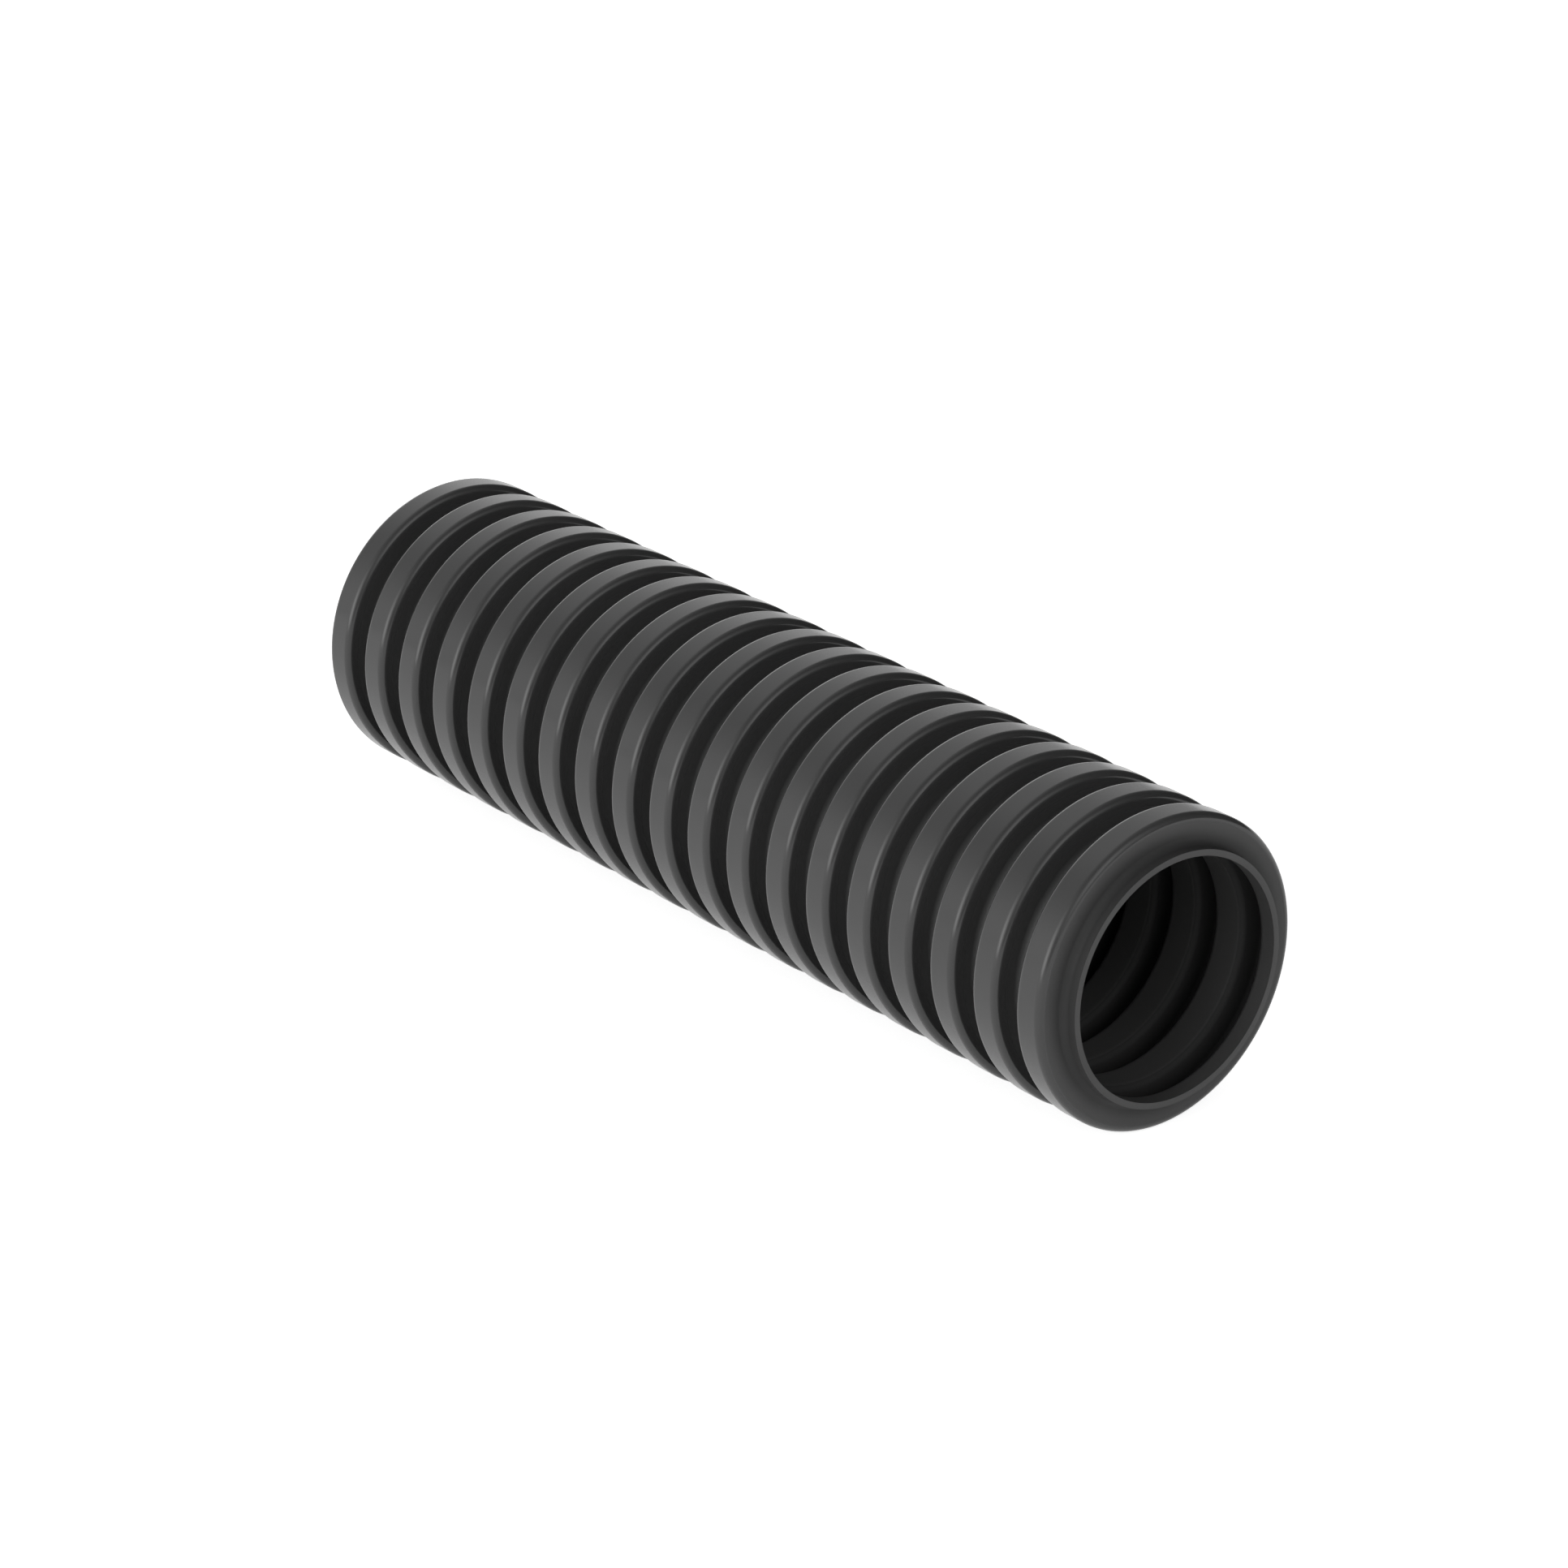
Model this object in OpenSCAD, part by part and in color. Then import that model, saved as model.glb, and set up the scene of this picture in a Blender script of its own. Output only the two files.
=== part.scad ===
// Corrugated wire loom: a short cut length of thin ribbed plastic tube.
// It lies along X. The origin is on its axis, halfway between the two cut ends.

/* [Tube] */
// Clear diameter of the bore
bore_d = 10; // [6:0.1:25]
// Thickness of the moulded wall
wall_t = 0.26; // [0.15:0.01:0.4]
// Cut length of the piece
tube_len = 48; // [12:0.5:150]

/* [Ribs] */
// Height of a rib above the root between two ribs
rib_h = 1.24; // [0.6:0.01:2.5]
// Outside width of a rib
rib_w = 1.43; // [1.2:0.01:1.9]
// Distance from one rib to the next
rib_pitch = 2.525; // [2.1:0.005:4]
// Radius of every bend of the wall, outside and inside
bend_r = 0.29; // [0.1:0.01:0.44]
// Plain collar between the last rib and the end at +X
collar_l = 0.64; // [0:0.01:1.5]

/* [Hidden] */
// Radii of the inside of the wall, at the root and in the groove of a rib
bore_r = bore_d / 2;
groove_r = bore_r + rib_h;
// Radii of the outside of the wall, at the root and on the crest of a rib
root_r = bore_r + wall_t;
crest_r = groove_r + wall_t;
// Width of the groove inside a rib
groove_w = rib_w - 2 * wall_t;
// Middle of the rib nearest the +X end, and the number of whole ribs
first_rib_x = tube_len / 2 - collar_l - rib_w / 2;
rib_count = floor((tube_len - collar_l - rib_w) / rib_pitch) + 1;
// Overrun of a cutting shape past the faces that it cuts
past = 0.5;
// Facets of the turned surfaces and of the bends
turn_fn = 180;
bend_fn = 32;

// Half sections: x is the radius and y runs along the tube.

// Round corner between the root and the side of a rib that stands at y
module root_corner(root, y, side) {
    difference() {
        translate([root, y])
            square(2 * bend_r, center = true);
        translate([root + bend_r, y + side * bend_r])
            circle(r = bend_r, $fn = bend_fn);
    }
}

// One rib, filled down to the axis, with round edges at its crest and its root
module rib_section(root, crest, w) {
    square([2 * (crest - bend_r), w], center = true);
    square([2 * crest, w - 2 * bend_r], center = true);
    for (side = [-1, 1]) {
        translate([crest - bend_r, side * (w / 2 - bend_r)])
            circle(r = bend_r, $fn = bend_fn);
        root_corner(root, side * w / 2, side);
    }
}

// The whole row of ribs on a plain root, filled down to the axis
module ribbed_section(root, crest, w, len) {
    intersection() {
        translate([0, -len / 2])
            square([crest, len]);
        union() {
            square([2 * root, len], center = true);
            for (i = [0 : rib_count - 1])
                translate([0, first_rib_x - i * rib_pitch])
                    rib_section(root, crest, w);
        }
    }
}

// The tube: the outer form less the hollow, which follows it one wall inside
module loom_tube() {
    color([0.16, 0.16, 0.16])
        rotate([0, 90, 0])
            rotate_extrude($fn = turn_fn)
                difference() {
                    ribbed_section(root_r, crest_r, rib_w, tube_len);
                    ribbed_section(bore_r, groove_r, groove_w, tube_len + 2 * past);
                }
}

loom_tube();
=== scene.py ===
"""Looks of the corrugated wire loom: one turned mesh in satin black plastic, a pale floor, soft studio light."""
import math

import bpy
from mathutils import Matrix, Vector


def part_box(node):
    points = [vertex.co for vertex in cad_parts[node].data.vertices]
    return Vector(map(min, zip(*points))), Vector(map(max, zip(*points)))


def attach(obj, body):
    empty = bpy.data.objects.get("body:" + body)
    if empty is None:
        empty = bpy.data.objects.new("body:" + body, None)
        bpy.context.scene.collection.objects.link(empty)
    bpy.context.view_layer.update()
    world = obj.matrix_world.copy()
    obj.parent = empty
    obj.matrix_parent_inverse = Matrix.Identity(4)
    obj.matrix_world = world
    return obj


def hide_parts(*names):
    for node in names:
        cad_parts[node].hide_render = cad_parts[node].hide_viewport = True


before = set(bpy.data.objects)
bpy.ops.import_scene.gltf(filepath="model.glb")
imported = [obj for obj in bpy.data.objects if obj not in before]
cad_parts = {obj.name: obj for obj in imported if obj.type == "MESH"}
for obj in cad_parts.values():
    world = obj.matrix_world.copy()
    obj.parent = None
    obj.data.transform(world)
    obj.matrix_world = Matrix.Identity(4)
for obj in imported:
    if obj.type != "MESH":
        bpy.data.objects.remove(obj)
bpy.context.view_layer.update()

MM = 0.001

# Sizes of the loom in millimetres, as in the part's source
BORE_R = 5.0
WALL = 0.26
TUBE_LEN = 48.0
RIB_H = 1.24
RIB_W = 1.43
RIB_PITCH = 2.525
BEND_R = 0.29
COLLAR = 0.64

# Steps of the turned mesh: around the tube, and over each kind of bend
AROUND = 144
OUTER_CREST_STEPS = 5
OUTER_ROOT_STEPS = 3
INNER_CREST_STEPS = 2
INNER_ROOT_STEPS = 4

# Finish of the plastic as (roughness, grey): in the grooves and on the crests of the ribs. The crest grey is the
# plastic's own; the lighter grey in the grooves is painted light, standing in for light that fills them.
RIB_GLOSS = 0.5
GROOVE_FINISH_AND_PAINTED_LIGHT = (0.5, 0.09)
CREST_FINISH = (0.18, 0.06)
# On the collars and up the walls of the end ribs. The darker grey at the collars is painted shade in the corner,
# and the lighter grey up the walls is painted light.
END_GLOSS = 0.24
COLLAR_FINISH_AND_PAINTED_SHADE = (0.6, 0.05)
WALL_FINISH_AND_PAINTED_LIGHT = (0.4, 0.09)
# Inside, where the wires run and in the hollows of the ribs. The lighter grey on the bore is painted light, and
# the darker grey from the inner bends into the hollows is painted shade that hides their highlights.
BORE_GLOSS = 0.12
BORE_FINISH_AND_PAINTED_LIGHT = (0.55, 0.085)
HOLLOW_FINISH_AND_PAINTED_SHADE = (0.65, 0.045)
# On the cuts, at their inner and outer edges
CUT_GLOSS = 0.5
INNER_EDGE_FINISH = (0.5, 0.065)
OUTER_EDGE_FINISH = (0.4, 0.055)

# Camera, fitted to the photograph: place in millimetres from the middle of the tube, angles in degrees
CAMERA_PLACE = (160.40, -128.88, 89.75)
CAMERA_AZIMUTH = 51.21
CAMERA_ELEVATION = 23.57
CAMERA_LENS = 125.08
SENSOR = 36.0

# Studio light: azimuth from +X towards +Y and elevation in degrees, and strength, of each softbox
FRONT_BOX = (-90, 10, 3.5)
LEFT_BOX = (-135, 10, 0.8)
NEAR_END_BOX = (0, 30, 1.5)
BACK_BOX = (160, 10, 2.0)
TOP_BOX = (180, 60, 0.6)
SOFTBOXES = (FRONT_BOX, LEFT_BOX, NEAR_END_BOX, BACK_BOX, TOP_BOX)
# How fast a softbox fades away from its middle
SOFTBOX_FALL = 10.0
# Light that the floor adds to what falls on it, as the camera and as reflections see it
FLOOR_TO_CAMERA = 0.8
FLOOR_TO_GLOSS = 0.6


def bend(x, r, start, end, steps, outwards):
    """Points (x, r, normal x, normal r) on a round bend about (x, r), angles in degrees from +X towards +r."""
    points = []
    for i in range(steps + 1):
        a = math.radians(start + (end - start) * i / steps)
        c, s = math.cos(a), math.sin(a)
        points.append((x + BEND_R * c, r + BEND_R * s, outwards * c, outwards * s))
    return points


def straight(a, b, normal):
    """A straight stretch of the section between two points, with one normal."""
    return [(a[0], a[1], *normal), (b[0], b[1], *normal)]


def rib(x, width, root, crest, crest_steps, root_steps):
    """Strokes over one rib centred on x, from its +X side to its -X side, round at its crest and its root."""
    near, far = x + width / 2, x - width / 2
    top, low = crest - BEND_R, root + BEND_R
    return [
        bend(near + BEND_R, low, 270, 180, root_steps, -1),
        straight((near, low), (near, top), (1, 0)),
        bend(near - BEND_R, top, 0, 90, crest_steps, 1),
        straight((near - BEND_R, crest), (far + BEND_R, crest), (0, 1)),
        bend(far + BEND_R, top, 90, 180, crest_steps, 1),
        straight((far, top), (far, low), (-1, 0)),
        bend(far - BEND_R, low, 0, -90, root_steps, -1),
    ]


def ribbed_line(width, root, crest, crest_steps, root_steps):
    """Strokes of the whole ribbed line, from the +X end to the -X end."""
    half = TUBE_LEN / 2
    first = half - COLLAR - RIB_W / 2
    count = math.floor((TUBE_LEN - COLLAR - RIB_W) / RIB_PITCH) + 1
    strokes, x = [], half
    for i in range(count):
        over = rib(first - i * RIB_PITCH, width, root, crest, crest_steps, root_steps)
        strokes.append(straight((x, root), over[0][0], (0, 1)))
        strokes += over
        x = over[-1][-1][0]
    strokes.append(straight((x, root), (-half, root), (0, 1)))
    return strokes


def turned_back(strokes):
    """The same strokes run the other way, with their normals reversed: the inside of the wall."""
    return [[(x, r, -nx, -nr) for x, r, nx, nr in reversed(s)] for s in reversed(strokes)]


def wall_outline():
    """Strokes round the whole wall section: the outside, the far cut, then the inside and the near cut."""
    half = TUBE_LEN / 2
    groove, root = BORE_R + RIB_H, BORE_R + WALL
    outside = ribbed_line(RIB_W, root, groove + WALL, OUTER_CREST_STEPS, OUTER_ROOT_STEPS)
    inside = ribbed_line(RIB_W - 2 * WALL, BORE_R, groove, INNER_CREST_STEPS, INNER_ROOT_STEPS)
    far_cut = straight((-half, root), (-half, BORE_R), (-1, 0))
    near_cut = straight((half, BORE_R), (half, root), (1, 0))
    return outside + [far_cut], turned_back(inside) + [near_cut]


def turn(name, strokes):
    """A closed mesh turned about the X axis from the strokes of its section, with exact smooth normals."""
    steps = [(a, b) for s in strokes for a, b in zip(s, s[1:])]
    spin = [(math.cos(2 * math.pi * j / AROUND), math.sin(2 * math.pi * j / AROUND)) for j in range(AROUND)]
    verts = [(a[0] * MM, a[1] * MM * c, a[1] * MM * s) for a, _ in steps for c, s in spin]
    faces, normals = [], []
    for i, (a, b) in enumerate(steps):
        here, there = i * AROUND, (i + 1) % len(steps) * AROUND
        for j in range(AROUND):
            k = (j + 1) % AROUND
            faces.append((here + j, there + j, there + k, here + k))
            for point, (c, s) in ((a, spin[j]), (b, spin[j]), (b, spin[k]), (a, spin[k])):
                normals.append((point[2], point[3] * c, point[3] * s))
    mesh = bpy.data.meshes.new(name)
    mesh.from_pydata(verts, [], faces)
    mesh.polygons.foreach_set("use_smooth", [True] * len(faces))
    mesh.normals_split_custom_set(normals)
    piece = bpy.data.objects.new(name, mesh)
    bpy.context.scene.collection.objects.link(piece)
    return piece


def ramp(nodes, links, value, start, end, low, high):
    """A value that goes smoothly from low, where the input is at start, to high, where it is at end."""
    step = nodes.new("ShaderNodeMapRange")
    step.interpolation_type = "SMOOTHSTEP"
    step.inputs["From Min"].default_value = start
    step.inputs["From Max"].default_value = end
    step.inputs["To Min"].default_value = low
    step.inputs["To Max"].default_value = high
    links.new(value, step.inputs["Value"])
    return step.outputs["Result"]


def grain(nodes, links, place, size, detail):
    """Noise whose features are about this many millimetres across."""
    noise = nodes.new("ShaderNodeTexNoise")
    noise.inputs["Scale"].default_value = 1 / (size * MM)
    noise.inputs["Detail"].default_value = detail
    links.new(place, noise.inputs["Vector"])
    return noise.outputs["Fac"]


def distance_from_axis(nodes, links, place):
    """How far a point of the surface is from the tube's axis."""
    across = nodes.new("ShaderNodeVectorMath")
    across.operation = "MULTIPLY"
    across.inputs[1].default_value = (0, 1, 1)
    links.new(place, across.inputs[0])
    radius = nodes.new("ShaderNodeVectorMath")
    radius.operation = "LENGTH"
    links.new(across.outputs[0], radius.inputs[0])
    return radius.outputs["Value"]


def uneven(nodes, links, value, place, size, amount):
    """A value made a little uneven by soft clouds about this many millimetres across."""
    clouds = ramp(nodes, links, grain(nodes, links, place, size, 2), 0.3, 0.7, 1 - amount, 1 + amount)
    both = nodes.new("ShaderNodeMath")
    both.operation = "MULTIPLY"
    links.new(value, both.inputs[0])
    links.new(clouds, both.inputs[1])
    return both.outputs[0]


def black_plastic(name, gloss, low_r, low_roughness_and_grey, high_r, high_roughness_and_grey):
    """Black moulded plastic, with one roughness and grey at a low radius and another at a high one, and a fine
    grain; where the grey changes with radius on the ribs, the end ribs and the bore, it is painted light and
    shade.
    """
    material = bpy.data.materials.new(name)
    material.use_nodes = True
    nodes, links = material.node_tree.nodes, material.node_tree.links
    shader = nodes["Principled BSDF"]
    shader.inputs["IOR"].default_value = 1.5
    shader.inputs["Specular IOR Level"].default_value = gloss
    place = nodes.new("ShaderNodeTexCoord").outputs["Object"]
    radius = distance_from_axis(nodes, links, place)
    roughness, grey = (
        ramp(nodes, links, radius, low_r * MM, high_r * MM, low, high)
        for low, high in zip(low_roughness_and_grey, high_roughness_and_grey)
    )
    links.new(uneven(nodes, links, roughness, place, 3.0, 0.1), shader.inputs["Roughness"])
    links.new(uneven(nodes, links, grey, place, 5.0, 0.05), shader.inputs["Base Color"])

    bump = nodes.new("ShaderNodeBump")
    bump.inputs["Strength"].default_value = 0.15
    bump.inputs["Distance"].default_value = 0.004 * MM
    links.new(grain(nodes, links, place, 0.09, 3), bump.inputs["Height"])
    links.new(bump.outputs["Normal"], shader.inputs["Normal"])
    return material


def loom():
    """The tube: satin on its ribs, duller inside and towards its ends, and plain on the cuts; its grey paints
    light in the grooves, up the end walls and on the bore floor, and paints shade at the collars and over the
    inner bends.
    """
    outside, inside = wall_outline()
    piece = turn("loom", outside + inside)
    crest, root = BORE_R + RIB_H + WALL, BORE_R + WALL
    low, top, shoulder = root + 0.5 * BEND_R, crest - BEND_R, crest - 0.9 * BEND_R
    # The grey ramps are painted light in the grooves, up the end walls and on the bore floor, and painted shade
    # at the collars and over the inner bends.
    ribs = black_plastic("plastic_ribs", RIB_GLOSS, low, GROOVE_FINISH_AND_PAINTED_LIGHT, shoulder, CREST_FINISH)
    end = black_plastic("plastic_end", END_GLOSS, root, COLLAR_FINISH_AND_PAINTED_SHADE, top, WALL_FINISH_AND_PAINTED_LIGHT)
    bore = black_plastic("plastic_bore", BORE_GLOSS, BORE_R, BORE_FINISH_AND_PAINTED_LIGHT, BORE_R + 0.15 * BEND_R, HOLLOW_FINISH_AND_PAINTED_SHADE)
    cut = black_plastic("plastic_cut", CUT_GLOSS, BORE_R, INNER_EDGE_FINISH, root, OUTER_EDGE_FINISH)
    for material in (ribs, end, bore, cut):
        piece.data.materials.append(material)
    stretches = (
        (end, outside[:3]),
        (ribs, outside[3:-4]),
        (end, outside[-4:-1]),
        (cut, outside[-1:]),
        (bore, inside[:-1]),
        (cut, inside[-1:]),
    )
    slots = []
    for material, strokes in stretches:
        slots += [piece.data.materials.find(material.name)] * AROUND * sum(len(s) - 1 for s in strokes)
    piece.data.polygons.foreach_set("material_index", slots)
    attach(piece, "root")
    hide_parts("loom_tube")
    return piece


def plain_floor(size):
    """A pale floor under the tube, which keeps the tube's shadow and shows white to the camera."""
    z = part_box("loom_tube")[0].z
    mesh = bpy.data.meshes.new("floor")
    mesh.from_pydata([(-size, -size, z), (size, -size, z), (size, size, z), (-size, size, z)], [], [(0, 1, 2, 3)])
    floor = bpy.data.objects.new("floor", mesh)
    bpy.context.scene.collection.objects.link(floor)
    material = bpy.data.materials.new("floor")
    material.use_nodes = True
    nodes, links = material.node_tree.nodes, material.node_tree.links
    shader = nodes["Principled BSDF"]
    shader.inputs["Base Color"].default_value = (0.9, 0.9, 0.9, 1)
    shader.inputs["Roughness"].default_value = 0.9
    shader.inputs["Specular IOR Level"].default_value = 0.0
    shader.inputs["Emission Color"].default_value = (1, 1, 1, 1)
    links.new(floor_lift(nodes, links), shader.inputs["Emission Strength"])
    mesh.materials.append(material)
    return floor


def floor_lift(nodes, links):
    """The light that the floor adds, on a ray from the camera and on one by way of a gloss."""
    path = nodes.new("ShaderNodeLightPath")
    gloss = nodes.new("ShaderNodeMath")
    gloss.operation = "MULTIPLY"
    gloss.inputs[1].default_value = FLOOR_TO_GLOSS
    links.new(path.outputs["Is Glossy Ray"], gloss.inputs[0])
    both = nodes.new("ShaderNodeMath")
    both.operation = "MULTIPLY_ADD"
    both.inputs[1].default_value = FLOOR_TO_CAMERA
    links.new(path.outputs["Is Camera Ray"], both.inputs[0])
    links.new(gloss.outputs[0], both.inputs[2])
    return both.outputs[0]


def softbox(nodes, links, where, azimuth, elevation, strength):
    """Light from one side of the studio: full towards its middle, and fading softly all round."""
    a, e = math.radians(azimuth), math.radians(elevation)
    facing = nodes.new("ShaderNodeVectorMath")
    facing.operation = "DOT_PRODUCT"
    facing.inputs[1].default_value = (math.cos(e) * math.cos(a), math.cos(e) * math.sin(a), math.sin(e))
    links.new(where, facing.inputs[0])
    fall = nodes.new("ShaderNodeMath")
    fall.operation = "MULTIPLY_ADD"
    fall.inputs[1].default_value = SOFTBOX_FALL
    fall.inputs[2].default_value = math.log(strength) - SOFTBOX_FALL
    links.new(facing.outputs["Value"], fall.inputs[0])
    light = nodes.new("ShaderNodeMath")
    light.operation = "EXPONENT"
    links.new(fall.outputs[0], light.inputs[0])
    return light.outputs[0]


def studio():
    """Soft light from the softboxes, in front of a backdrop that the camera sees as white."""
    world = bpy.data.worlds.new("studio")
    world.use_nodes = True
    nodes, links = world.node_tree.nodes, world.node_tree.links
    where = nodes.new("ShaderNodeTexCoord").outputs["Generated"]
    total = None
    for azimuth, elevation, strength in SOFTBOXES:
        light = softbox(nodes, links, where, azimuth, elevation, strength)
        if total is None:
            total = light
            continue
        add = nodes.new("ShaderNodeMath")
        links.new(total, add.inputs[0])
        links.new(light, add.inputs[1])
        total = add.outputs[0]
    seen = nodes.new("ShaderNodeMath")
    seen.operation = "MAXIMUM"
    links.new(nodes.new("ShaderNodeLightPath").outputs["Is Camera Ray"], seen.inputs[0])
    links.new(total, seen.inputs[1])
    links.new(seen.outputs[0], nodes["Background"].inputs["Strength"])
    nodes["Background"].inputs["Color"].default_value = (1, 1, 1, 1)
    bpy.context.scene.world = world


def camera():
    """The camera at the photograph's viewing angle."""
    data = bpy.data.cameras.new("camera")
    data.sensor_width = SENSOR
    data.lens = CAMERA_LENS
    data.clip_start, data.clip_end = 0.01, 10
    view = bpy.data.objects.new("camera", data)
    azimuth, elevation = math.radians(CAMERA_AZIMUTH), math.radians(CAMERA_ELEVATION)
    back = Vector((
        math.sin(azimuth) * math.cos(elevation),
        -math.cos(azimuth) * math.cos(elevation),
        math.sin(elevation),
    ))
    view.location = Vector(CAMERA_PLACE) * MM
    view.rotation_mode = "QUATERNION"
    view.rotation_quaternion = back.to_track_quat("Z", "Y")
    bpy.context.scene.collection.objects.link(view)
    bpy.context.scene.camera = view


camera()
tube = loom()
plain_floor(2.0)
studio()
bpy.context.scene.view_settings.view_transform = "Standard"
